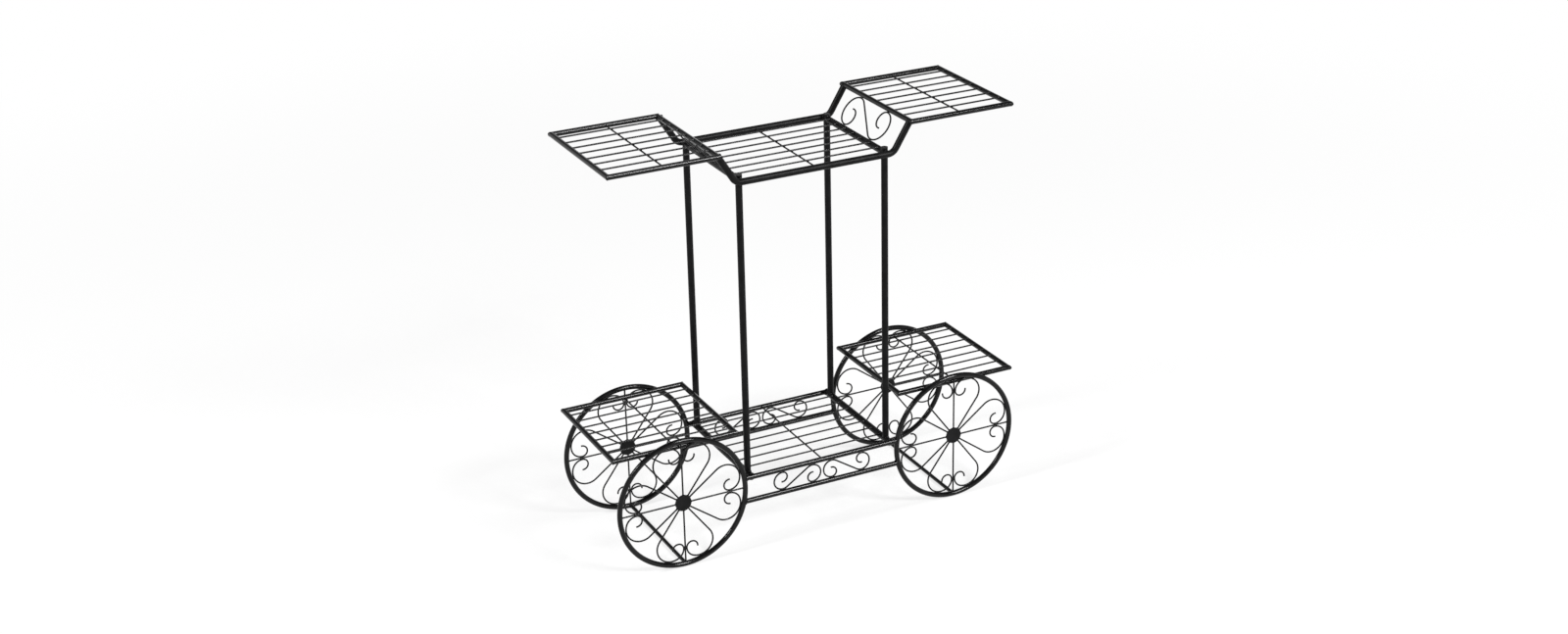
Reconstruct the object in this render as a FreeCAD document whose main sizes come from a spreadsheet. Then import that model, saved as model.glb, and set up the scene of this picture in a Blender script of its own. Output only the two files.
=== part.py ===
import FreeCAD, Part
import math
import os

import Sketcher

# Flower cart stand in welded round steel tube and wire, 800 mm long. Four spoked wheels carry two low side
# shelves and a middle tray. Four posts on the tray carry a middle top shelf, and the two long tubes of that
# shelf bend up at both ends to carry two raised side shelves. Everything is welded and nothing turns.
# X runs along the cart, -Y is the front and Z is up. The origin is on the floor under the middle.

Vector = FreeCAD.Vector
Rotation = FreeCAD.Rotation
Placement = FreeCAD.Placement
X = Vector(1, 0, 0)
Y = Vector(0, 1, 0)
Z = Vector(0, 0, 1)

os.makedirs("parts", exist_ok=True)
doc = FreeCAD.newDocument("flower_cart_stand")
sheet = doc.addObject("Spreadsheet::Sheet", "Sizes")

# Driving sizes in millimetres and degrees: name, value, what it is.
DRIVING_SIZES = (
    # tube and wire
    ("rail_d", 9.5, "outer diameter of the rims and of the shelf and panel rails"),
    ("post_d", 12.0, "outer diameter of the posts, the long top tubes and the cross rails"),
    ("wall", 1.0, "wall of every tube"),
    ("tie_d", 7.0, "diameter of the solid tie bars along the floor"),
    ("wire_d", 3.0, "diameter of every wire"),
    ("cope_gap", 2.0, "how far short of the crossed tube's axis a coped end stops"),
    # wheels
    ("rim_radius", 120.0, "hub centre to the centre of the rim tube"),
    ("wheel_x", 273.0, "middle of the cart to the centre of a wheel"),
    ("wheel_y", 124.0, "middle of the cart to the plane of a wheel"),
    ("hub_d", 30.0, "diameter of the hub disc"),
    ("hub_t", 4.0, "thickness of the hub disc"),
    ("hub_chamfer", 0.4, "chamfer on both edges of the hub disc"),
    ("curl_angle", 36.5, "angle between a straight spoke and the start of a curled one"),
    ("curl_radius", 28.0, "bend of a curled spoke where it touches the rim"),
    ("curl_turn", 20.0, "how far that bend goes on past square to the straight spoke"),
    ("curl_tip_radius", 10.5, "bend of the curl's tip"),
    ("curl_tip_sweep", 185.0, "how far the tip turns after touching the straight spoke"),
    # tray between the wheels, with a scroll panel under its front rail and under its back rail
    ("tray_rise", 17.75, "hub centre up to the centre of the tray's rails"),
    ("panel_drop", 45.5, "tray rail down to the bottom rail of the scroll panel"),
    ("panel_scroll_length", 93.0, "length of one panel scroll, over its wire centres"),
    ("scroll_gap", 3.0, "clear gap between the two scrolls of a panel"),
    ("scroll_tip", 0.57, "bend of a scroll's tip as a share of the bend of its loop"),
    ("scroll_tip_sweep", 190.0, "how far the tip of a scroll turns"),
    # posts and the middle top shelf
    ("post_x", 139.5, "middle of the cart to the centre of a post"),
    ("post_rise", 2.5, "how far a post stands out above the long top tube"),
    ("plug_head", 1.2, "height of a post plug's head"),
    ("plug_stem", 8.0, "length of a post plug's stem"),
    ("plug_clearance", 0.05, "radial clearance of that stem in the post"),
    ("top_z", 693.5, "floor to the centre of the long top tubes"),
    ("top_y", 119.0, "middle of the cart to a long top tube"),
    ("arm_x", 150.0, "middle of the cart to where a long top tube turns up"),
    ("arm_radius", 18.0, "centre line radius of that bend"),
    # raised side shelves
    ("raised_rise", 53.0, "long top tubes up to the centre of the raised shelf's rails"),
    ("raised_inner_x", 183.0, "middle of the cart to the raised shelf's inner rail"),
    ("raised_outer_x", 381.0, "middle of the cart to the raised shelf's outer rail"),
    ("raised_y", 125.0, "middle of the cart to the raised shelf's front and back rails"),
    ("raised_scroll_length", 151.0, "length of the raised scroll, over its wire centres"),
    # low side shelves, welded between the two wheels of one end
    ("low_drop", 13.75, "top of the rims' centre lines down to the centre of the low shelf's rails"),
    ("low_inner_x", 164.0, "middle of the cart to the low shelf's inner rail"),
    ("low_outer_x", 395.0, "middle of the cart to the low shelf's outer rail"),
)
DECK_WIRES = 7  # long wires of each deck

for row, (alias, value, note) in enumerate(DRIVING_SIZES, start=1):
    sheet.set(f"A{row}", note)
    sheet.set(f"B{row}", str(value))
    sheet.setAlias(f"B{row}", alias)
doc.recompute()

rail_d = sheet.rail_d
post_d = sheet.post_d
wire_d = sheet.wire_d
cope_gap = sheet.cope_gap
top_z = sheet.top_z
raised_z = top_z + sheet.raised_rise
wheel_z = sheet.rim_radius + rail_d / 2  # the rims stand on the floor
low_z = wheel_z + sheet.rim_radius - sheet.low_drop
tray_z = wheel_z + sheet.tray_rise
panel_z = tray_z - sheet.panel_drop
post_y = sheet.top_y - post_d  # the posts stand against the inside of the long top tubes
low_y = sheet.wheel_y - rail_d  # the low shelves' rails lie against the inside of the rims
SIDES = (("left", -1), ("right", 1))
FACES = (("front", -1), ("back", 1))

subparts = []


def keep(piece, label):
    """Names a finished sub-part and lists it for export."""
    piece.Label = label
    subparts.append(piece)


def lying(start, axis, up):
    """Placement at start with its Z along axis and its Y along up."""
    return Placement(start, Rotation(up.cross(axis), up, axis, "ZYX"))


def bar(diameter, length, place):
    """Solid round bar along its placement's Z."""
    cylinder = doc.addObject("Part::Cylinder", "Bar")
    cylinder.setExpression("Radius", f"({diameter}) / 2")
    cylinder.setExpression("Height", length)
    cylinder.Placement = place
    return cylinder


def group(pieces):
    """Several objects held together as one."""
    compound = doc.addObject("Part::Compound", "Group")
    compound.Links = pieces
    return compound


def cut(base, tool):
    """base with tool taken away."""
    result = doc.addObject("Part::Cut", "Cut")
    result.Base = base
    result.Tool = tool
    return result


def coped_tube(label, diameter, length, place, crossed):
    """Tube with its ends shaped to the tubes it meets. Returns its outside as a solid."""
    outside = cut(bar(diameter, length, place), group(crossed))
    bore = bar(f"{diameter} - 2 * Sizes.wall", length, place)
    keep(cut(outside, bore), label)
    return outside


def mitred_tube(label, axis_length, place):
    """Shelf rail with both ends cut at 45 degrees, half a diameter past the crossed rails' axes at its
    outer corners. Its placement's Y points into the shelf. Returns its outside as a solid."""
    length = f"{axis_length} + Sizes.rail_d"
    wedge = doc.addObject("Part::Wedge", "Mitre")
    for low, high in (("Xmin", "Xmax"), ("X2min", "X2max"), ("Ymin", "Ymax")):
        wedge.setExpression(low, "-Sizes.rail_d / 2")
        wedge.setExpression(high, "Sizes.rail_d / 2")
    wedge.Zmin = 0
    wedge.setExpression("Zmax", length)
    wedge.setExpression("Z2min", "Sizes.rail_d")
    wedge.setExpression("Z2max", axis_length)
    wedge.Placement = place
    outside = doc.addObject("Part::Common", "MitredBar")
    outside.Base = bar("Sizes.rail_d", length, place)
    outside.Tool = wedge
    bore = bar("Sizes.rail_d - 2 * Sizes.wall", length, place)
    keep(cut(outside, bore), label)
    return outside


def deck(label, x_low, x_high, y_half, wire_z, width, depth, rails):
    """Deck of evenly spaced wires along X between two end rails, lying on one cross wire. The ends stop
    just short of the rails' axes and are shaped to the rails. Width and depth are from axis to axis."""
    wires = []
    for number in range(1, DECK_WIRES + 1):
        y = -y_half + 2 * y_half * number / (DECK_WIRES + 1)
        start = Vector(x_low + cope_gap, y, wire_z)
        wires.append(bar("Sizes.wire_d", f"{width} - 2 * Sizes.cope_gap", lying(start, X, Z)))
    cross_start = Vector((x_low + x_high) / 2, cope_gap - y_half, wire_z - wire_d)
    wires.append(bar("Sizes.wire_d", f"{depth} - 2 * Sizes.cope_gap", lying(cross_start, Y, Z)))
    keep(cut(group(wires), group(rails)), label)


def on_circle(centre, radius, degrees):
    """Point of a circle in the XY plane."""
    angle = math.radians(degrees)
    return centre + Vector(math.cos(angle), math.sin(angle), 0) * radius


def arc(centre, radius, start, end):
    """Arc in the XY plane from one angle to another, in degrees, either way round."""
    points = [on_circle(centre, radius, angle) for angle in (start, (start + end) / 2, end)]
    return Part.Arc(*points).toShape()


def line(start, end):
    """Straight run between two points."""
    return Part.LineSegment(start, end).toShape()


def swept_bar(diameter, edges, place):
    """Round bar swept along a chain of lines and arcs in the XY plane of place."""
    spine = doc.addObject("Part::Feature", "Spine")
    spine.Shape = Part.Wire(edges)
    spine.Placement = place
    first = edges[0]
    start = first.valueAt(first.FirstParameter)
    heading = first.tangentAt(first.FirstParameter)
    section = doc.addObject("Part::Circle", "Section")
    section.setExpression("Radius", f"({diameter}) / 2")
    section.Placement = place.multiply(Placement(start, Rotation(Z, heading)))
    sweep = doc.addObject("Part::Sweep", "Sweep")
    sweep.Sections = [section]
    sweep.Spine = (spine, [f"Edge{number}" for number in range(1, len(edges) + 1)])
    sweep.Solid = True
    sweep.Frenet = False
    return sweep


def body_sketch(body, role):
    """Empty sketch on one of the body's own origin planes."""
    plane = [item for item in body.Origin.OriginFeatures if item.Role == role][0]
    sketch = body.newObject("Sketcher::SketchObject", "Outline")
    sketch.AttachmentSupport = [(plane, "")]
    sketch.MapMode = "FlatFace"
    return sketch


# ---- Wheels: hoop of tube, hub disc, straight spokes and curled spokes, all in one upright plane


def rim(label, place):
    """Hoop of tube. Returns its outside as a solid."""
    hoops = []
    for radius in ("Sizes.rail_d / 2", "Sizes.rail_d / 2 - Sizes.wall"):
        hoop = doc.addObject("Part::Torus", "Hoop")
        hoop.setExpression("Radius1", "Sizes.rim_radius")
        hoop.setExpression("Radius2", radius)
        hoop.Placement = place
        hoops.append(hoop)
    keep(cut(*hoops), label)
    return hoops[0]


def hub_disc(label, place):
    """Flat disc with both edges chamfered."""
    body = doc.addObject("PartDesign::Body", "HubDisc")
    outline = body_sketch(body, "XY_Plane")
    circle = outline.addGeometry(Part.Circle(Vector(), Z, sheet.hub_d / 2), False)
    outline.addConstraint(Sketcher.Constraint("Coincident", circle, 3, -1, 1))
    diameter = outline.addConstraint(Sketcher.Constraint("Diameter", circle, sheet.hub_d))
    outline.setExpression(f"Constraints[{diameter}]", "Sizes.hub_d")
    pad = body.newObject("PartDesign::Pad", "Disc")
    pad.Profile = outline
    pad.setExpression("Length", "Sizes.hub_t")
    pad.Midplane = True
    doc.recompute()
    chamfer = body.newObject("PartDesign::Chamfer", "Edges")
    chamfer.Base = (pad, [f"Edge{n}" for n, edge in enumerate(pad.Shape.Edges, 1) if edge.Closed])
    chamfer.setExpression("Size", "Sizes.hub_chamfer")
    body.Tip = chamfer
    body.Placement = place
    keep(body, label)


def hub_space(place):
    """The hub disc before its chamfers, which the spokes stop at."""
    return bar("Sizes.hub_d", "Sizes.hub_t", place.multiply(Placement(Z * (-sheet.hub_t / 2), Rotation())))


def straight_spokes(label, place, rim_outside):
    """Four wires from the edge of the hub to the inside of the rim."""
    length = "Sizes.rim_radius - Sizes.cope_gap"
    wires = []
    for quarter in range(4):
        direction = on_circle(Vector(), 1, 90 * quarter)
        wires.append(bar("Sizes.wire_d", length, place.multiply(lying(Vector(), direction, Z))))
    keep(cut(group(wires), group([hub_space(place), rim_outside])), label)


def curl_outline():
    """Curled spoke beside a straight spoke along X: out from the hub in a line, round against the rim,
    back until it touches the straight spoke, and in to the tip."""
    reach = sheet.rim_radius - rail_d / 2 - wire_d / 2
    lean = math.degrees(math.asin(sheet.curl_radius / (reach - sheet.curl_radius)))
    rim_bend = on_circle(Vector(), reach - sheet.curl_radius, sheet.curl_angle - lean)
    turn_end = on_circle(rim_bend, sheet.curl_radius, -sheet.curl_turn)
    inner_radius = (turn_end.y - wire_d) / (1 - math.sin(math.radians(sheet.curl_turn)))
    inner_bend = on_circle(turn_end, inner_radius, 180 - sheet.curl_turn)
    tip_bend = Vector(inner_bend.x, wire_d + sheet.curl_tip_radius, 0)
    leave = sheet.curl_angle + 90
    return [
        line(Vector(), on_circle(rim_bend, sheet.curl_radius, leave)),
        arc(rim_bend, sheet.curl_radius, leave, -sheet.curl_turn),
        arc(inner_bend, inner_radius, -sheet.curl_turn, -90),
        arc(tip_bend, sheet.curl_tip_radius, -90, -90 - sheet.curl_tip_sweep),
    ]


curl = cut(swept_bar("Sizes.wire_d", curl_outline(), Placement()), hub_space(Placement()))
doc.recompute()


def curled_spokes(label, place):
    """Eight copies of the one curl, a mirrored pair round each straight spoke."""
    pair = [curl.Shape, curl.Shape.mirror(Vector(), Y)]
    copies = []
    for quarter in range(4):
        for half in pair:
            copy = half.copy()
            copy.rotate(Vector(), Z, 90 * quarter)
            copies.append(copy)
    spokes = doc.addObject("Part::Feature", "CurledSpokes")
    spokes.Shape = Part.makeCompound(copies)
    spokes.Placement = place
    keep(spokes, label)


rims = {}
for face, front in FACES:
    for side, way in SIDES:
        wheel = f"wheel_{face}_{side}"
        hub_centre = Vector(way * sheet.wheel_x, front * sheet.wheel_y, wheel_z)
        upright = Placement(hub_centre, Rotation(X, Z, Y * -1, "ZYX"))
        rims[face, side] = rim(f"{wheel}_rim", upright)
        hub_disc(f"{wheel}_hub", upright)
        straight_spokes(f"{wheel}_spokes", upright, rims[face, side])
        curled_spokes(f"{wheel}_curls", upright)

# ---- Tie bars: solid bars along the floor between the rims of one end

for side, way in SIDES:
    start = Vector(way * sheet.wheel_x, cope_gap - sheet.wheel_y, rail_d / 2)
    tie = bar("Sizes.tie_d", "2 * (Sizes.wheel_y - Sizes.cope_gap)", lying(start, Y, Z))
    keep(cut(tie, group([rims["front", side], rims["back", side]])), f"tie_bar_{side}")

# ---- Tray and scroll panels: rails from rim to rim at the front and back, cross rails and a deck


def rim_to_rim(label, face, front, z, rise):
    """Rail between the inner sides of two rims, at z and, by the expression rise, as far above the hubs.
    Returns its outside as a solid."""
    end_x = sheet.wheel_x - math.sqrt(sheet.rim_radius**2 - (z - wheel_z) ** 2) - cope_gap
    start = Vector(-end_x, front * sheet.wheel_y, z)
    half_chord = f"sqrt(Sizes.rim_radius ^ 2 - ({rise}) ^ 2)"
    length = f"2 * (Sizes.wheel_x - {half_chord} - Sizes.cope_gap)"
    wheels = [rims[face, side] for side, way in SIDES]
    return coped_tube(label, "Sizes.rail_d", length, lying(start, X, Z), wheels)


def scroll_outline(length, height):
    """S-scroll lying along X: a tip, a loop, a straight run, and the same turned half round."""
    loop = height / 2
    loop_x = length / 2 - loop
    slope = math.degrees(math.asin(loop / loop_x))
    tip = loop * sheet.scroll_tip
    tip_bend = Vector(-loop_x, loop - tip, 0)
    loop_bend = Vector(-loop_x, 0, 0)
    leave = on_circle(loop_bend, loop, slope - 90)
    return [
        arc(tip_bend, tip, 90 - sheet.scroll_tip_sweep, 90),
        arc(loop_bend, loop, 90, 270 + slope),
        line(leave, leave * -1),
        arc(loop_bend * -1, loop, 90 + slope, -90),
        arc(tip_bend * -1, tip, 270, 270 - sheet.scroll_tip_sweep),
    ]


tray_rails = {}
panel_scroll_height = sheet.panel_drop - rail_d - wire_d
for face, front in FACES:
    tray_rails[face] = rim_to_rim(f"tray_{face}_rail", face, front, tray_z, "Sizes.tray_rise")
    name = f"panel_{face}_bottom_rail"
    rim_to_rim(name, face, front, panel_z, "Sizes.tray_rise - Sizes.panel_drop")
    outline = scroll_outline(sheet.panel_scroll_length, panel_scroll_height)
    scroll_x = (sheet.panel_scroll_length + wire_d + sheet.scroll_gap) / 2
    centre = Vector(-scroll_x, front * sheet.wheel_y, (tray_z + panel_z) / 2)
    scroll = swept_bar("Sizes.wire_d", outline, Placement(centre, Rotation(X, Z, Y * -1, "ZYX")))
    mirrored = doc.addObject("Part::Mirroring", "MirroredScroll")
    mirrored.Source = scroll
    mirrored.Normal = X
    keep(group([scroll, mirrored]), f"panel_{face}_scrolls")

cross_rails = {}
for side, way in SIDES:
    start = Vector(way * sheet.post_x, cope_gap - sheet.wheel_y, tray_z)
    length = "2 * (Sizes.wheel_y - Sizes.cope_gap)"
    rails = list(tray_rails.values())
    name = f"tray_{side}_rail"
    cross_rails[side] = coped_tube(name, "Sizes.post_d", length, lying(start, Y, Z), rails)

deck_z = tray_z + post_d / 2 - wire_d / 2
rails = list(cross_rails.values()) + list(tray_rails.values())
width = "2 * Sizes.post_x"
deck("tray_deck", -sheet.post_x, sheet.post_x, sheet.wheel_y, deck_z, width, "2 * Sizes.wheel_y", rails)

# ---- Posts: four tubes standing on the tray's cross rails, each closed by a plug

posts = {}
post_foot = "Sizes.rim_radius + Sizes.rail_d / 2 + Sizes.tray_rise + Sizes.cope_gap"
post_length = f"Sizes.top_z + Sizes.post_d / 2 + Sizes.post_rise - ({post_foot})"
for face, front in FACES:
    for side, way in SIDES:
        foot = Vector(way * sheet.post_x, front * post_y, tray_z + cope_gap)
        name = f"post_{face}_{side}"
        place = Placement(foot, Rotation())
        posts[face, side] = coped_tube(name, "Sizes.post_d", post_length, place, [cross_rails[side]])


def plug_blank():
    """Turned plug with a stem in the post's bore and a flat head on its end, the end being Z = 0."""
    body = doc.addObject("PartDesign::Body", "Plug")
    outline = body_sketch(body, "XZ_Plane")
    stem_r = post_d / 2 - sheet.wall - sheet.plug_clearance
    corners = [
        Vector(0, -sheet.plug_stem, 0),
        Vector(stem_r, -sheet.plug_stem, 0),
        Vector(stem_r, 0, 0),
        Vector(post_d / 2, 0, 0),
        Vector(post_d / 2, sheet.plug_head, 0),
        Vector(0, sheet.plug_head, 0),
    ]
    for number, corner in enumerate(corners):
        following = corners[(number + 1) % len(corners)]
        outline.addGeometry(Part.LineSegment(corner, following), False)
    for number in range(len(corners)):
        outline.addConstraint(Sketcher.Constraint("Coincident", number, 2, (number + 1) % len(corners), 1))
        direction = "Horizontal" if number % 2 == 0 else "Vertical"
        outline.addConstraint(Sketcher.Constraint(direction, number))
    outline.addConstraint(Sketcher.Constraint("PointOnObject", 0, 1, -2))
    outline.addConstraint(Sketcher.Constraint("PointOnObject", 2, 1, -1))
    stem_expression = "Sizes.post_d / 2 - Sizes.wall - Sizes.plug_clearance"
    bound = (
        (("DistanceX", -1, 1, 1, 1, stem_r), stem_expression),
        (("DistanceX", -1, 1, 3, 1, post_d / 2), "Sizes.post_d / 2"),
        (("DistanceY", 1, 1, -1, 1, sheet.plug_stem), "Sizes.plug_stem"),
        (("DistanceY", -1, 1, 4, 1, sheet.plug_head), "Sizes.plug_head"),
    )
    for constraint, expression in bound:
        index = outline.addConstraint(Sketcher.Constraint(*constraint))
        outline.setExpression(f"Constraints[{index}]", expression)
    turned = body.newObject("PartDesign::Revolution", "Turned")
    turned.Profile = outline
    turned.ReferenceAxis = (outline, ["V_Axis"])
    turned.Angle = 360
    doc.recompute()
    return body.Shape


post_top_z = top_z + post_d / 2 + sheet.post_rise
plug = plug_blank()
plug_copies = []
for face, front in FACES:
    for side, way in SIDES:
        copy = plug.copy()
        copy.translate(Vector(way * sheet.post_x, front * post_y, post_top_z))
        plug_copies.append(copy)
plugs = doc.addObject("Part::Feature", "PostPlugs")
plugs.Shape = Part.makeCompound(plug_copies)
keep(plugs, "post_plugs")

# ---- Side shelves: four mitred rails and a deck, one low and one raised at each end of the cart


def side_shelf(name, way, tier, z, y_half, y_expression):
    """Shelf frame of four mitred rails with its deck. Returns the outsides of its four rails."""
    inner_x = way * sheet.get(f"{tier}_inner_x")
    outer_x = way * sheet.get(f"{tier}_outer_x")
    low_x = min(inner_x, outer_x)
    high_x = max(inner_x, outer_x)
    corner = rail_d / 2
    depth = f"2 * ({y_expression})"
    width = f"Sizes.{tier}_outer_x - Sizes.{tier}_inner_x"
    front_start = Vector(low_x - corner, -y_half, z)
    back_start = Vector(low_x - corner, y_half, z)
    inner_start = Vector(inner_x, -y_half - corner, z)
    outer_start = Vector(outer_x, -y_half - corner, z)
    outsides = [
        mitred_tube(f"{name}_inner_rail", depth, lying(inner_start, Y, X * way)),
        mitred_tube(f"{name}_outer_rail", depth, lying(outer_start, Y, X * -way)),
        mitred_tube(f"{name}_front_rail", width, lying(front_start, X, Y)),
        mitred_tube(f"{name}_back_rail", width, lying(back_start, X, Y * -1)),
    ]
    deck(f"{name}_deck", low_x, high_x, y_half, z + rail_d / 2 - wire_d / 2, width, depth, outsides)
    return outsides


raised_rails = []
for side, way in SIDES:
    side_shelf(f"low_{side}", way, "low", low_z, low_y, "Sizes.wheel_y - Sizes.rail_d")
    raised_y = sheet.raised_y
    raised_rails += side_shelf(f"raised_{side}", way, "raised", raised_z, raised_y, "Sizes.raised_y")

# ---- Middle top shelf: two long tubes bent up into the arms of the raised shelves, cross rails, a deck


def top_tube_outline():
    """Centre line of a long top tube, from the top of one arm to the top of the other."""
    turn = math.atan2(sheet.raised_rise, sheet.raised_inner_x - sheet.arm_x)
    rise = Vector(math.cos(turn), math.sin(turn), 0)
    tangent = sheet.arm_radius * math.tan(turn / 2)
    arm_end = Vector(sheet.raised_inner_x, sheet.raised_rise, 0) - rise * cope_gap
    bend_low = Vector(sheet.arm_x - tangent, 0, 0)
    bend_high = Vector(sheet.arm_x, 0, 0) + rise * tangent
    bend_centre = bend_low + Y * sheet.arm_radius
    left_end, left_high, left_low, left_centre = (
        Vector(-point.x, point.y, 0) for point in (arm_end, bend_high, bend_low, bend_centre)
    )
    degrees = math.degrees(turn)
    return [
        line(left_end, left_high),
        arc(left_centre, sheet.arm_radius, 270 - degrees, 270),
        line(left_low, bend_low),
        arc(bend_centre, sheet.arm_radius, 270, 270 + degrees),
        line(bend_high, arm_end),
    ]


top_tubes = []
for face, front in FACES:
    place = Placement(Vector(0, front * sheet.top_y, top_z), Rotation(X, Z, Y * -1, "ZYX"))
    outside = cut(swept_bar("Sizes.post_d", top_tube_outline(), place), group(raised_rails))
    bore = swept_bar("Sizes.post_d - 2 * Sizes.wall", top_tube_outline(), place)
    keep(cut(outside, bore), f"top_{face}_tube")
    top_tubes.append(outside)

top_cross_rails = []
for side, way in SIDES:
    start = Vector(way * sheet.post_x, cope_gap - post_y, top_z)
    length = "2 * (Sizes.top_y - Sizes.post_d - Sizes.cope_gap)"
    ends = [posts["front", side], posts["back", side]]
    name = f"top_{side}_rail"
    top_cross_rails.append(coped_tube(name, "Sizes.post_d", length, lying(start, Y, Z), ends))

deck_z = top_z + post_d / 2 - wire_d / 2
rails = top_cross_rails + top_tubes
deck("top_deck", -sheet.post_x, sheet.post_x, sheet.top_y, deck_z, width, "2 * Sizes.top_y", rails)

# ---- Raised scrolls: one S of wire in the slope between a top cross rail and a raised inner rail

for side, way in SIDES:
    foot = Vector(way * sheet.post_x, 0, top_z)
    slope = Vector(way * sheet.raised_inner_x, 0, raised_z) - foot
    height = slope.Length - post_d / 2 - rail_d / 2 - wire_d
    slope.normalize()
    centre = foot + slope * (post_d / 2 + wire_d / 2 + height / 2)
    place = Placement(centre, Rotation(Y, slope, Y.cross(slope), "ZYX"))
    outline = scroll_outline(sheet.raised_scroll_length, height)
    keep(swept_bar("Sizes.wire_d", outline, place), f"raised_{side}_scroll")

# ---- Checks and export

doc.recompute()
for item in doc.Objects:
    if "Invalid" in item.State or "Error" in item.State:
        raise RuntimeError(f"{item.Name} ({item.Label}) did not build: {item.State}")
for piece in subparts:
    if piece.Shape.isNull() or not piece.Shape.isValid():
        raise RuntimeError(f"{piece.Label} has no valid shape")
for piece in subparts:
    piece.Shape.exportStep(f"parts/{piece.Label}.step")
print(len(subparts), "sub-parts written")
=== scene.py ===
import math
import random

import bmesh
import bpy
from mathutils import Matrix, Vector


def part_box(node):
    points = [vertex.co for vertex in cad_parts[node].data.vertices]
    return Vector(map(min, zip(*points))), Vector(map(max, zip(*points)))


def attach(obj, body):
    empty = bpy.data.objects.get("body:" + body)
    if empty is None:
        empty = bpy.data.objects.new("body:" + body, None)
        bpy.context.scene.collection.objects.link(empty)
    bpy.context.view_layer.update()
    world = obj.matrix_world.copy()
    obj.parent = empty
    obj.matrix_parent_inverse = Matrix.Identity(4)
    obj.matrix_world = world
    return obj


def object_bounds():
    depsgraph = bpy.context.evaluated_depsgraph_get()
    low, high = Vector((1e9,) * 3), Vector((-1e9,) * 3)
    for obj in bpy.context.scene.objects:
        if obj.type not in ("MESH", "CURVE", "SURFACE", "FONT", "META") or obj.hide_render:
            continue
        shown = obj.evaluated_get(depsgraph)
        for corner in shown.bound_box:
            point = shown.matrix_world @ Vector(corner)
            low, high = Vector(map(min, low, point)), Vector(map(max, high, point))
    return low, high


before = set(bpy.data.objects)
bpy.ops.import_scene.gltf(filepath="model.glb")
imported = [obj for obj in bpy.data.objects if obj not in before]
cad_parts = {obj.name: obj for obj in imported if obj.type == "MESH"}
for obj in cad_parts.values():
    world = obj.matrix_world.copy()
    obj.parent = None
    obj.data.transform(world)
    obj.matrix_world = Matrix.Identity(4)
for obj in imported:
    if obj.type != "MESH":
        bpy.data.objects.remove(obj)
cad_low, cad_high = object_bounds()

# ---- Wheel rims
# Four hoops of 9.5 mm steel tube, rolled round and closed with a butt weld, stand on the floor.
# They are sprayed with thick gloss black paint, which dries with a little orange peel.

X = Vector((1, 0, 0))
Y = Vector((0, 1, 0))
Z = Vector((0, 0, 1))
SIDES = {"left": -1, "right": 1}
FACES = {"front": -1, "back": 1}
RAIL_R = 0.00475

THICK_FILM = (0.002, 0.002, 0.0022, 1)
THIN_FILM = (0.009, 0.009, 0.0094, 1)
FILM_PATCHES_PER_M = 55
DULL_PATCHES_PER_M = 140
DULL_SPREAD = 0.08


def black_paint(name, gloss, dull, peel_size, peel_depth):
    """Black paint: deep colour with thinner places, patches of duller film, and orange peel."""
    material = bpy.data.materials.new(name)
    material.use_nodes = True
    nodes = material.node_tree.nodes
    links = material.node_tree.links
    shader = nodes["Principled BSDF"]
    shader.inputs["Specular IOR Level"].default_value = gloss
    place = nodes.new("ShaderNodeTexCoord")

    def noise(scale, detail):
        texture = nodes.new("ShaderNodeTexNoise")
        texture.inputs["Scale"].default_value = scale
        texture.inputs["Detail"].default_value = detail
        links.new(place.outputs["Object"], texture.inputs["Vector"])
        return texture.outputs["Fac"]

    film = nodes.new("ShaderNodeValToRGB")
    film.color_ramp.elements[0].position = 0.35
    film.color_ramp.elements[0].color = THICK_FILM
    film.color_ramp.elements[1].position = 0.72
    film.color_ramp.elements[1].color = THIN_FILM
    links.new(noise(FILM_PATCHES_PER_M, 4), film.inputs["Fac"])
    links.new(film.outputs["Color"], shader.inputs["Base Color"])

    dullness = nodes.new("ShaderNodeMapRange")
    dullness.inputs["From Min"].default_value = 0.3
    dullness.inputs["From Max"].default_value = 0.7
    dullness.inputs["To Min"].default_value = dull
    dullness.inputs["To Max"].default_value = dull + DULL_SPREAD
    links.new(noise(DULL_PATCHES_PER_M, 5), dullness.inputs["Value"])
    links.new(dullness.outputs["Result"], shader.inputs["Roughness"])

    peel = nodes.new("ShaderNodeBump")
    peel.inputs["Strength"].default_value = 0.5
    peel.inputs["Distance"].default_value = peel_depth
    links.new(noise(1 / peel_size, 2), peel.inputs["Height"])
    links.new(peel.outputs["Normal"], shader.inputs["Normal"])
    return material


tube_paint = black_paint(
    "paint_on_tube", gloss=0.22, dull=0.1, peel_size=0.0018, peel_depth=0.00006
)


def paint(node, material):
    """Gives a CAD node its finish in place of the plain one it came with."""
    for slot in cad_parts[node].material_slots:
        slot.material = material


BEAD_SIDES = 8
RIPPLE = 0.13
RIPPLE_TURN = 1.7
UNEVENNESS = 0.07
THIN_END = 0.05


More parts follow.
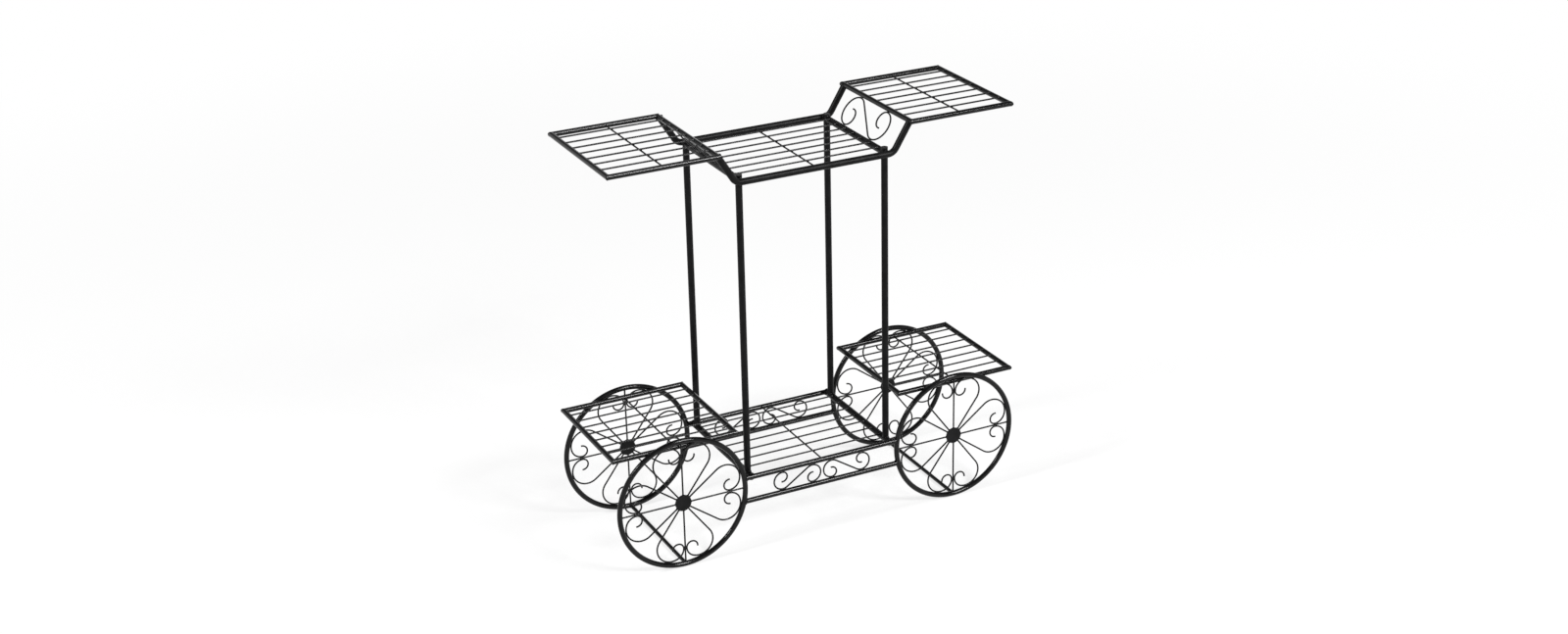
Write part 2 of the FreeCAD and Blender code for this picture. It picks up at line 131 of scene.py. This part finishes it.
def run_bead(mesh, path, radius, closed=True):
    """Lays one bead of weld along a line of points, swollen and pinched as the torch left it.
    An open bead thins out at both ends."""
    count = len(path)
    rings = []
    phase = chance.uniform(0, math.tau)
    for number, point in enumerate(path):
        before = path[number - 1] if closed or number else point
        after = path[(number + 1) % count] if closed or number < count - 1 else point
        along = (after - before).normalized()
        out = along.orthogonal().normalized() if number == 0 else out - along * out.dot(along)
        out.normalize()
        across = along.cross(out)
        swell = 1 + RIPPLE * math.sin(number * RIPPLE_TURN + phase)
        swell += chance.uniform(-UNEVENNESS, UNEVENNESS)
        if not closed:
            swell *= math.sqrt(max(1 - abs(2 * (number + 0.5) / count - 1) ** 3, THIN_END))
        ring = []
        for step in range(BEAD_SIDES):
            angle = math.tau * step / BEAD_SIDES
            offset = (out * math.cos(angle) + across * math.sin(angle)) * radius * swell
            ring.append(mesh.verts.new(point + offset))
        rings.append(ring)

    # A closed bead may come round twisted, so its last ring joins the first at the least twist.
    turn = 0
    if closed:
        twists = []
        for shift in range(BEAD_SIDES):
            apart = 0
            for step in range(BEAD_SIDES):
                first = rings[0][(step + shift) % BEAD_SIDES]
                apart += (first.co - rings[-1][step].co).length
            twists.append(apart)
        turn = twists.index(min(twists))
    for number in range(count if closed else count - 1):
        near = rings[number]
        far = rings[(number + 1) % count]
        shift = turn if number == count - 1 else 0
        for step in range(BEAD_SIDES):
            near_next = near[(step + 1) % BEAD_SIDES]
            far_here = far[(step + shift) % BEAD_SIDES]
            far_next = far[(step + shift + 1) % BEAD_SIDES]
            mesh.faces.new((near[step], near_next, far_next, far_here))
    if not closed:
        mesh.faces.new(reversed(rings[0]))
        mesh.faces.new(rings[-1])


def ring_path(centre, first, second, count):
    """Points round an ellipse with the half axes first and second."""
    turns = [math.tau * number / count for number in range(count)]
    return [centre + first * math.cos(turn) + second * math.sin(turn) for turn in turns]


weld_paint = black_paint(
    "paint_on_weld", gloss=0.18, dull=0.24, peel_size=0.0009, peel_depth=0.00006
)


def painted_welds(mesh, name):
    """Makes the finished beads of one group into a piece that rides with the stand. The outermost
    beads are dressed flush with the tubes."""
    for corner in mesh.verts:
        for axis in range(3):
            corner.co[axis] = min(max(corner.co[axis], cad_low[axis]), cad_high[axis])
    bmesh.ops.recalc_face_normals(mesh, faces=mesh.faces)
    data = bpy.data.meshes.new(name)
    mesh.to_mesh(data)
    mesh.free()
    data.shade_smooth()
    data.materials.append(weld_paint)
    piece = bpy.data.objects.new(name, data)
    bpy.context.collection.objects.link(piece)
    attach(piece, "root")


SEED = 7
chance = random.Random(SEED)
hub_centres = {}
BUTT_WELD_ANGLE = math.radians(152)
BUTT_RING_R = RAIL_R - 0.0005
BUTT_RING_POINTS = 56
BUTT_BEAD_R = 0.00085
mesh = bmesh.new()
for face in FACES:
    for side, way in SIDES.items():
        node = f"wheel_{face}_{side}_rim"
        paint(node, tube_paint)
        low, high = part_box(node)
        centre = Vector(((low.x + high.x) / 2, (low.y + high.y) / 2, (low.z + high.z) / 2))
        hub_centres[face, side] = centre
        rim_r = (high.z - low.z) / 2 - RAIL_R
        outward = X * way * math.cos(BUTT_WELD_ANGLE) + Z * math.sin(BUTT_WELD_ANGLE)
        joint = centre + outward * rim_r
        ring = ring_path(joint, outward * BUTT_RING_R, Y * BUTT_RING_R, BUTT_RING_POINTS)
        run_bead(mesh, ring, BUTT_BEAD_R)
painted_welds(mesh, "rim_butt_welds")

# ---- Hubs
# A flat disc punched from 4 mm plate in the middle of each wheel, its edges broken. The paint lies
# smoother on the flat plate than on tube.

HUB_R = 0.015
hub_paint = black_paint(
    "paint_on_plate", gloss=0.15, dull=0.2, peel_size=0.0022, peel_depth=0.0001
)
for face in FACES:
    for side in SIDES:
        paint(f"wheel_{face}_{side}_hub", hub_paint)

# ---- Straight spokes
# Four 3 mm wires in each wheel, two level and two upright, cut to length and welded end on to the
# hub disc and to the inside of the rim.

WIRE_R = 0.0015
WIRE_BEAD_R = 0.00055
WIRE_BEAD_POINTS = 20
HUB_BEAD_R = 0.0009
HALFWAY_OUT = 0.06
DEEPEST_COPE = 0.6
wire_paint = black_paint(
    "paint_on_wire", gloss=0.2, dull=0.2, peel_size=0.0012, peel_depth=0.00002
)


def where_it_enters(start, along, radius, crossed, crossed_along, crossed_r, count):
    """Closed line round the end of a bar, where its surface enters the tube or disc it meets."""
    flat_along = along - crossed_along * along.dot(crossed_along)
    first = along.orthogonal().normalized()
    second = along.cross(first)

    def reach(point):
        gap = point - crossed
        gap -= crossed_along * gap.dot(crossed_along)
        middle = -gap.dot(flat_along) / flat_along.length_squared
        miss = (gap + flat_along * middle).length
        return middle - math.sqrt(max(crossed_r**2 - miss**2, 0)) / flat_along.length

    deepest = reach(start) + DEEPEST_COPE * radius
    path = []
    for point in ring_path(start, first * radius, second * radius, count):
        path.append(point + along * min(reach(point), deepest))
    return path


def wire_end_weld(mesh, start, along, crossed, crossed_along, crossed_r, bead_r=WIRE_BEAD_R):
    """Small collar of weld where a wire ends on a tube. On the edge of a hub it is a thick one."""
    bar = (start, along, WIRE_R)
    line = where_it_enters(*bar, crossed, crossed_along, crossed_r, WIRE_BEAD_POINTS)
    run_bead(mesh, line, bead_r)


for face in FACES:
    for side in SIDES:
        paint(f"wheel_{face}_{side}_spokes", wire_paint)
        mesh = bmesh.new()
        centre = hub_centres[face, side]
        for quarter in range(4):
            angle = math.tau * quarter / 4
            out = X * math.cos(angle) + Z * math.sin(angle)
            halfway = centre + out * HALFWAY_OUT
            wire_end_weld(mesh, halfway, -out, centre, Y, HUB_R, HUB_BEAD_R)
            wire_end_weld(mesh, halfway, out, centre + out * rim_r, out.cross(Y), RAIL_R)
        painted_welds(mesh, f"wheel_{face}_{side}_spoke_welds")

# ---- Curled spokes
# Eight 3 mm wires in each wheel, bent cold in mirrored pairs. Each leaves the hub between two
# straight spokes, is tacked to the rim where it touches it, curls back, and is tacked to its spoke.

CURL_LEAVES_HUB = math.radians(36.5)
CURL_MEETS_RIM = math.radians(17.44)
CURL_MEETS_SPOKE = 0.0894
ALONG_CURL_LEG = 0.04
TACK_POINTS = 9
RIM_TACK_LENGTH = 0.007
RIM_TACK_R = 0.0011
RIM_TACK_SUNK = 0.0002
SPOKE_TACK_LENGTH = 0.005
SPOKE_TACK_R = 0.0009


def tack(mesh, point, along, length, radius):
    """Short bead beside a place where two round pieces touch."""
    path = []
    for number in range(TACK_POINTS):
        path.append(point + along * length * (number / (TACK_POINTS - 1) - 0.5))
    run_bead(mesh, path, radius, closed=False)


for face in FACES:
    for side in SIDES:
        paint(f"wheel_{face}_{side}_curls", wire_paint)
        mesh = bmesh.new()
        centre = hub_centres[face, side]
        for quarter in range(4):
            turned = Matrix.Rotation(math.tau * quarter / 4, 3, Y)
            for mirror in (-1, 1):
                up = Z * mirror
                leaves = X * math.cos(CURL_LEAVES_HUB) + up * math.sin(CURL_LEAVES_HUB)
                leaves = turned @ leaves
                start = centre + leaves * ALONG_CURL_LEG
                wire_end_weld(mesh, start, -leaves, centre, Y, HUB_R, HUB_BEAD_R)
                meets = turned @ (X * math.cos(CURL_MEETS_RIM) + up * math.sin(CURL_MEETS_RIM))
                touch = centre + meets * (rim_r - RAIL_R - RIM_TACK_SUNK)
                tack(mesh, touch, meets.cross(Y), RIM_TACK_LENGTH, RIM_TACK_R)
                beside = turned @ (X * CURL_MEETS_SPOKE + up * WIRE_R)
                tack(mesh, centre + beside, turned @ X, SPOKE_TACK_LENGTH, SPOKE_TACK_R)
        painted_welds(mesh, f"wheel_{face}_{side}_curl_welds")

# ---- Tie bars
# A solid 7 mm bar along the floor at each end of the stand, welded between the bottoms of the front
# and the back rim. They keep the wheels from turning.

TIE_R = 0.0035
TUBE_BEAD_R = 0.0012
TUBE_BEAD_POINTS = 52


def tube_end_weld(mesh, start, along, radius, crossed, crossed_along, crossed_r):
    """Full bead round the end of a tube or bar that is welded on to another."""
    bar = (start, along, radius)
    line = where_it_enters(*bar, crossed, crossed_along, crossed_r, TUBE_BEAD_POINTS)
    run_bead(mesh, line, TUBE_BEAD_R)


mesh = bmesh.new()
for side in SIDES:
    paint(f"tie_bar_{side}", tube_paint)
    for face, front in FACES.items():
        rim_bottom = hub_centres[face, side] - Z * rim_r
        middle = Vector((rim_bottom.x, 0, rim_bottom.z))
        tube_end_weld(mesh, middle, Y * front, TIE_R, rim_bottom, X, RAIL_R)
painted_welds(mesh, "tie_bar_welds")

# ---- Tray
# The front and back rails are 9.5 mm tube from rim to rim, and the two cross rails between them are
# 12 mm tube. Seven 3 mm wires lie between the cross rails, level with their tops, over one cross
# wire. The paint is duller on the 12 mm tubes.

POST_R = 0.006
POST_X = 0.1395
TRAY_Z = 0.1425
DECK_WIRES = 7
TACK_R = 0.0010
CROSSING_TACK_LENGTH = 0.0042
wheel_x = hub_centres["front", "right"].x
wheel_y = hub_centres["back", "right"].y
wheel_z = hub_centres["front", "right"].z


def rim_to_rim_welds(mesh, front, z):
    """Beads at both ends of a rail that runs between the inner sides of two rims."""
    chord = math.sqrt(rim_r**2 - (z - wheel_z) ** 2)
    middle = Vector((0, front * wheel_y, z))
    for way in SIDES.values():
        meeting = Vector((way * (wheel_x - chord), front * wheel_y, z))
        hub = Vector((way * wheel_x, front * wheel_y, wheel_z))
        tangent = Y.cross(meeting - hub).normalized()
        tube_end_weld(mesh, middle, X * way, RAIL_R, meeting, tangent, RAIL_R)


def deck_welds(mesh, low_x, high_x, half_y, rail_z, end_r, face_r):
    """Welds of a deck: both ends of each wire, and each crossing with the cross wire."""
    wire_z = rail_z + end_r - WIRE_R
    middle_x = (low_x + high_x) / 2
    for number in range(1, DECK_WIRES + 1):
        y = half_y * (2 * number / (DECK_WIRES + 1) - 1)
        for end_x, out in ((low_x, -X), (high_x, X)):
            rail = Vector((end_x, y, rail_z))
            wire_end_weld(mesh, Vector((middle_x, y, wire_z)), out, rail, Y, end_r)
        crossing = Vector((middle_x, y, wire_z - WIRE_R))
        tack(mesh, crossing, X, CROSSING_TACK_LENGTH, TACK_R)
    for front in FACES.values():
        start = Vector((middle_x, 0, wire_z - 2 * WIRE_R))
        rail = Vector((middle_x, front * half_y, rail_z))
        wire_end_weld(mesh, start, Y * front, rail, X, face_r)


thick_tube_paint = black_paint(
    "paint_on_thick_tube", gloss=0.12, dull=0.38, peel_size=0.0018, peel_depth=0.00006
)
for face in FACES:
    paint(f"tray_{face}_rail", tube_paint)
for side in SIDES:
    paint(f"tray_{side}_rail", thick_tube_paint)
paint("tray_deck", wire_paint)
mesh = bmesh.new()
for front in FACES.values():
    rim_to_rim_welds(mesh, front, TRAY_Z)
    for way in SIDES.values():
        middle = Vector((way * POST_X, 0, TRAY_Z))
        rail = middle + Y * front * wheel_y
        tube_end_weld(mesh, middle, Y * front, POST_R, rail, X, RAIL_R)
painted_welds(mesh, "tray_welds")
mesh = bmesh.new()
deck_welds(mesh, -POST_X, POST_X, wheel_y, TRAY_Z, POST_R, RAIL_R)
painted_welds(mesh, "tray_deck_welds")

# ---- Scroll panels
# Under the front and the back rail of the tray a second rail runs from rim to rim, and two lying
# S-scrolls of 3 mm wire, bent cold, are tacked between the two rails.

PANEL_Z = 0.097
SCROLL_GAP = 0.003
SCROLL_END_X = 0.0165
SCROLL_TACK_LENGTH = 0.006
mesh = bmesh.new()
for face, front in FACES.items():
    paint(f"panel_{face}_bottom_rail", tube_paint)
    paint(f"panel_{face}_scrolls", wire_paint)
    rim_to_rim_welds(mesh, front, PANEL_Z)
    low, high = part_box(f"panel_{face}_scrolls")
    inner_x = SCROLL_GAP + SCROLL_END_X
    outer_x = high.x - SCROLL_END_X - WIRE_R
    for way in SIDES.values():
        for x in (inner_x, outer_x):
            for z in (low.z, high.z):
                touch = Vector((way * x, front * wheel_y, z))
                tack(mesh, touch, X, SCROLL_TACK_LENGTH, TACK_R)
painted_welds(mesh, "panel_welds")

# ---- Posts and their plugs
# Four 12 mm tubes stand on the tray's cross rails, each foot shaped to the rail and welded all
# round. A push-in plug of satin black plastic closes each open top.

POST_Y = 0.107
UP_THE_POST_Z = 0.4
mesh = bmesh.new()
for face, front in FACES.items():
    for side, way in SIDES.items():
        paint(f"post_{face}_{side}", thick_tube_paint)
        start = Vector((way * POST_X, front * POST_Y, UP_THE_POST_Z))
        foot = Vector((start.x, start.y, TRAY_Z))
        tube_end_weld(mesh, start, -Z, POST_R, foot, Y, POST_R)
painted_welds(mesh, "post_foot_welds")

GRAINS_PER_M = 1400
RUBBED_PATCHES_PER_M = 300
plug_plastic = bpy.data.materials.new("plug_plastic")
plug_plastic.use_nodes = True
nodes = plug_plastic.node_tree.nodes
links = plug_plastic.node_tree.links
shader = nodes["Principled BSDF"]
shader.inputs["Specular IOR Level"].default_value = 0.35
place = nodes.new("ShaderNodeTexCoord")
grain = nodes.new("ShaderNodeTexVoronoi")
grain.inputs["Scale"].default_value = GRAINS_PER_M
links.new(place.outputs["Object"], grain.inputs["Vector"])
texture = nodes.new("ShaderNodeBump")
texture.inputs["Strength"].default_value = 0.35
texture.inputs["Distance"].default_value = 0.00006
links.new(grain.outputs["Distance"], texture.inputs["Height"])
links.new(texture.outputs["Normal"], shader.inputs["Normal"])
shade = nodes.new("ShaderNodeValToRGB")
shade.color_ramp.elements[0].color = (0.012, 0.012, 0.013, 1)
shade.color_ramp.elements[1].color = (0.02, 0.02, 0.021, 1)
links.new(grain.outputs["Distance"], shade.inputs["Fac"])
links.new(shade.outputs["Color"], shader.inputs["Base Color"])
rub = nodes.new("ShaderNodeTexNoise")
rub.inputs["Scale"].default_value = RUBBED_PATCHES_PER_M
links.new(place.outputs["Object"], rub.inputs["Vector"])
satin = nodes.new("ShaderNodeMapRange")
satin.inputs["To Min"].default_value = 0.4
satin.inputs["To Max"].default_value = 0.55
links.new(rub.outputs["Fac"], satin.inputs["Value"])
links.new(satin.outputs["Result"], shader.inputs["Roughness"])
paint("post_plugs", plug_plastic)

# ---- Low side shelves
# Frames of 9.5 mm tube with mitred and welded corners, laid between the two wheels of each end and
# welded where their front and back rails touch the rims. Their decks are made as the tray's is.

LOW_Z = 0.231
LOW_INNER_X = 0.164
LOW_OUTER_X = 0.395
LOW_Y = wheel_y - 2 * RAIL_R
MITRE_RING_R = RAIL_R - 0.0006
MITRE_RING_POINTS = 48
MITRE_BEAD_R = 0.0009
RIM_TOUCH_HALF_X = 0.0046
RIM_TOUCH_HALF_Z = 0.0033
RIM_TOUCH_POINTS = 30


def paint_shelf(shelf, side):
    """Paints the frame and the deck of one side shelf."""
    for part in ("inner", "outer", "front", "back"):
        paint(f"{shelf}_{side}_{part}_rail", tube_paint)
    paint(f"{shelf}_{side}_deck", wire_paint)


def corner_welds(mesh, inner_x, outer_x, half_y, z, way):
    """Flat dressed beads along the four mitres of a shelf frame."""
    middle = Vector((way * (inner_x + outer_x) / 2, 0, z))
    for x in (inner_x, outer_x):
        for front in FACES.values():
            corner = Vector((way * x, front * half_y, z))
            away = corner - middle
            outward = X * math.copysign(1, away.x) + Y * math.copysign(1, away.y)
            half_wide = outward * MITRE_RING_R
            ring = ring_path(corner, half_wide, Z * MITRE_RING_R, MITRE_RING_POINTS)
            run_bead(mesh, ring, MITRE_BEAD_R)


def side_deck_welds(name, inner_x, outer_x, half_y, z, way):
    """Welds of a side shelf's deck, as a piece of their own."""
    mesh = bmesh.new()
    low_x, high_x = sorted((way * inner_x, way * outer_x))
    deck_welds(mesh, low_x, high_x, half_y, z, RAIL_R, RAIL_R)
    painted_welds(mesh, name)


for side, way in SIDES.items():
    paint_shelf("low", side)
    mesh = bmesh.new()
    corner_welds(mesh, LOW_INNER_X, LOW_OUTER_X, LOW_Y, LOW_Z, way)
    chord = math.sqrt(rim_r**2 - (LOW_Z - wheel_z) ** 2)
    for front in FACES.values():
        for x in (way * wheel_x - chord, way * wheel_x + chord):
            touch = Vector((x, front * (wheel_y - RAIL_R), LOW_Z))
            half_x = X * RIM_TOUCH_HALF_X
            ring = ring_path(touch, half_x, Z * RIM_TOUCH_HALF_Z, RIM_TOUCH_POINTS)
            run_bead(mesh, ring, TUBE_BEAD_R)
    painted_welds(mesh, f"low_{side}_frame_welds")
    deck_name = f"low_{side}_deck_welds"
    side_deck_welds(deck_name, LOW_INNER_X, LOW_OUTER_X, LOW_Y, LOW_Z, way)

# ---- Middle top shelf
# Two long 12 mm tubes run past the outside of the posts and bend up at both ends into the arms of
# the raised shelves. Two 12 mm cross rails join the posts, and the deck is level with their tops.

TOP_Z = 0.6935
TOP_Y = 0.119
POST_TOUCH_HALF = 0.0044
POST_TOUCH_POINTS = 34
POST_TOUCH_BEAD_R = 0.0016
for face in FACES:
    paint(f"top_{face}_tube", thick_tube_paint)
paint("top_deck", wire_paint)
mesh = bmesh.new()
for side, way in SIDES.items():
    paint(f"top_{side}_rail", thick_tube_paint)
    for front in FACES.values():
        post = Vector((way * POST_X, front * POST_Y, TOP_Z))
        middle = Vector((post.x, 0, post.z))
        tube_end_weld(mesh, middle, Y * front, POST_R, post, Z, POST_R)
        touch = post + Y * front * POST_R
        half_x = X * POST_TOUCH_HALF
        ring = ring_path(touch, half_x, Z * POST_TOUCH_HALF, POST_TOUCH_POINTS)
        run_bead(mesh, ring, POST_TOUCH_BEAD_R)
painted_welds(mesh, "top_frame_welds")
mesh = bmesh.new()
deck_welds(mesh, -POST_X, POST_X, TOP_Y, TOP_Z, POST_R, POST_R)
painted_welds(mesh, "top_deck_welds")

# ---- Raised side shelves
# Mitred frames of 9.5 mm tube like the low ones, out beyond the wheels on top of the bent arms.
# Each arm's end is shaped to the inner rail and welded all round.

RAISED_Z = 0.7465
RAISED_INNER_X = 0.183
RAISED_OUTER_X = 0.381
RAISED_Y = 0.125
ARM_X = 0.150
for side, way in SIDES.items():
    paint_shelf("raised", side)
    mesh = bmesh.new()
    corner_welds(mesh, RAISED_INNER_X, RAISED_OUTER_X, RAISED_Y, RAISED_Z, way)
    for front in FACES.values():
        arm_foot = Vector((way * ARM_X, front * TOP_Y, TOP_Z))
        arm_top = Vector((way * RAISED_INNER_X, front * TOP_Y, RAISED_Z))
        along = (arm_top - arm_foot).normalized()
        tube_end_weld(mesh, arm_foot, along, POST_R, arm_top, Y, RAIL_R)
    painted_welds(mesh, f"raised_{side}_frame_welds")
    deck_name = f"raised_{side}_deck_welds"
    side_deck_welds(deck_name, RAISED_INNER_X, RAISED_OUTER_X, RAISED_Y, RAISED_Z, way)

# ---- Raised scrolls
# One S of 3 mm wire, bent cold, fills each sloping opening between a top cross rail and a raised
# inner rail, and is tacked to both.

RAISED_SCROLL_LENGTH = 0.154
mesh = bmesh.new()
for side, way in SIDES.items():
    paint(f"raised_{side}_scroll", wire_paint)
    foot = Vector((way * POST_X, 0, TOP_Z))
    slope = Vector((way * RAISED_INNER_X, 0, RAISED_Z)) - foot
    top = foot + slope - slope.normalized() * RAIL_R
    foot += slope.normalized() * POST_R
    loop_y = (RAISED_SCROLL_LENGTH - (top - foot).length) / 2
    for y in (-loop_y, loop_y):
        for touch in (foot, top):
            tack(mesh, touch + Y * y, Y, SCROLL_TACK_LENGTH, TACK_R)
painted_welds(mesh, "raised_scroll_welds")

# ---- Floor
# A plain white studio floor. Under the stand it takes the light and the stand's shadow, and further
# out it fades to the even white of the surround.

FLOOR_R = 14
FADE_FROM = 1.0
FADE_TO = 3.5
bpy.ops.mesh.primitive_circle_add(
    vertices=96, radius=FLOOR_R, fill_type="NGON", location=(0, 0, 0)
)
floor = bpy.context.object
floor.name = "floor"
floor_white = bpy.data.materials.new("floor_white")
floor_white.use_nodes = True
nodes = floor_white.node_tree.nodes
links = floor_white.node_tree.links
shader = nodes["Principled BSDF"]
shader.inputs["Roughness"].default_value = 0.9
shader.inputs["Specular IOR Level"].default_value = 0
shader.inputs["Emission Color"].default_value = (1, 1, 1, 1)
place = nodes.new("ShaderNodeTexCoord")
distance = nodes.new("ShaderNodeVectorMath")
distance.operation = "LENGTH"
links.new(place.outputs["Object"], distance.inputs[0])


def seen_rays(nodes, links):
    """1 for rays that the camera sees straight, mirrored or through glass, 0 for plain lighting."""
    ray = nodes.new("ShaderNodeLightPath")
    seen = ray.outputs["Is Camera Ray"]
    for kind in ("Is Glossy Ray", "Is Transmission Ray"):
        either = nodes.new("ShaderNodeMath")
        either.operation = "MAXIMUM"
        links.new(seen, either.inputs[0])
        links.new(ray.outputs[kind], either.inputs[1])
        seen = either.outputs["Value"]
    return seen


def fading(near, far):
    """Value that goes from near, under the stand, to far, well away from it."""
    fade = nodes.new("ShaderNodeMapRange")
    fade.interpolation_type = "SMOOTHSTEP"
    fade.inputs["From Min"].default_value = FADE_FROM
    fade.inputs["From Max"].default_value = FADE_TO
    fade.inputs["To Min"].default_value = near
    fade.inputs["To Max"].default_value = far
    links.new(distance.outputs["Value"], fade.inputs["Value"])
    return fade.outputs["Result"]


links.new(fading(0.3, 0), shader.inputs["Base Color"])
glow = nodes.new("ShaderNodeMath")
glow.operation = "MULTIPLY"
links.new(seen_rays(nodes, links), glow.inputs[0])
links.new(fading(0.74, 1.0), glow.inputs[1])
links.new(glow.outputs["Value"], shader.inputs["Emission Strength"])
floor.data.materials.append(floor_white)

# ---- Light
# Soft white surround under a dimmer ceiling. The main softbox is in front on the right, a tall one
# stands on the left, and a wide weak one hangs overhead.

world = bpy.data.worlds.new("surround")
bpy.context.scene.world = world
world.use_nodes = True
nodes = world.node_tree.nodes
links = world.node_tree.links
background = nodes["Background"]
background.inputs["Color"].default_value = (1, 1, 1, 1)
direction = nodes.new("ShaderNodeTexCoord")
height = nodes.new("ShaderNodeSeparateXYZ")
links.new(direction.outputs["Generated"], height.inputs["Vector"])
ceiling = nodes.new("ShaderNodeMapRange")
ceiling.interpolation_type = "SMOOTHSTEP"
ceiling.inputs["From Min"].default_value = 0.18
ceiling.inputs["From Max"].default_value = 0.5
ceiling.inputs["To Min"].default_value = 1.0
ceiling.inputs["To Max"].default_value = 0.15
links.new(height.outputs["Z"], ceiling.inputs["Value"])
strength = nodes.new("ShaderNodeMapRange")
strength.inputs["To Min"].default_value = 0.14
links.new(ceiling.outputs["Result"], strength.inputs["To Max"])
links.new(seen_rays(nodes, links), strength.inputs["Value"])
links.new(strength.outputs["Result"], background.inputs["Strength"])

STAND_MIDDLE = Vector((0, 0, 0.375))
SOFTBOX_DISTANCE = 7.0


def softbox(name, direction, width, height, power):
    """Oblong lamp that faces the middle of the stand."""
    lamp = bpy.data.lights.new(name, "AREA")
    lamp.shape = "RECTANGLE"
    lamp.size = width
    lamp.size_y = height
    lamp.energy = power
    holder = bpy.data.objects.new(name, lamp)
    bpy.context.collection.objects.link(holder)
    holder.location = STAND_MIDDLE + Vector(direction).normalized() * SOFTBOX_DISTANCE
    holder.rotation_euler = (-Vector(direction)).to_track_quat("-Z", "Y").to_euler()


softbox("key_softbox", (0.37, -0.74, 0.56), width=1.8, height=1.0, power=400)
softbox("top_softbox", (0.3, -0.25, 0.92), width=1.6, height=1.6, power=50)
softbox("side_softbox", (-0.80, -0.05, 0.60), width=0.9, height=1.7, power=260)

# ---- Camera
# Stands 4 m away, left of the front and above the stand, and is turned a little on its axis. Its
# lens gives the 51 mm view of the photograph.

YAW = math.radians(26.17)
PITCH = math.radians(23.28)
ROLL = math.radians(-1.33)
CAMERA_DISTANCE = 4.0206
aim = Vector((-0.00814, 0, 0.3752))
camera_data = bpy.data.cameras.new("camera")
camera_data.sensor_width = 36
camera_data.lens = 51.47
camera_data.clip_end = 60
camera = bpy.data.objects.new("camera", camera_data)
bpy.context.collection.objects.link(camera)
heading = Matrix.Rotation(-YAW, 3, "Z") @ Matrix.Rotation(math.pi / 2 - PITCH, 3, "X")
camera.rotation_euler = (heading @ Matrix.Rotation(ROLL, 3, "Z")).to_euler()
camera.location = aim + heading @ Vector((0, 0, CAMERA_DISTANCE))
bpy.context.scene.camera = camera
bpy.context.scene.view_settings.view_transform = "Standard"
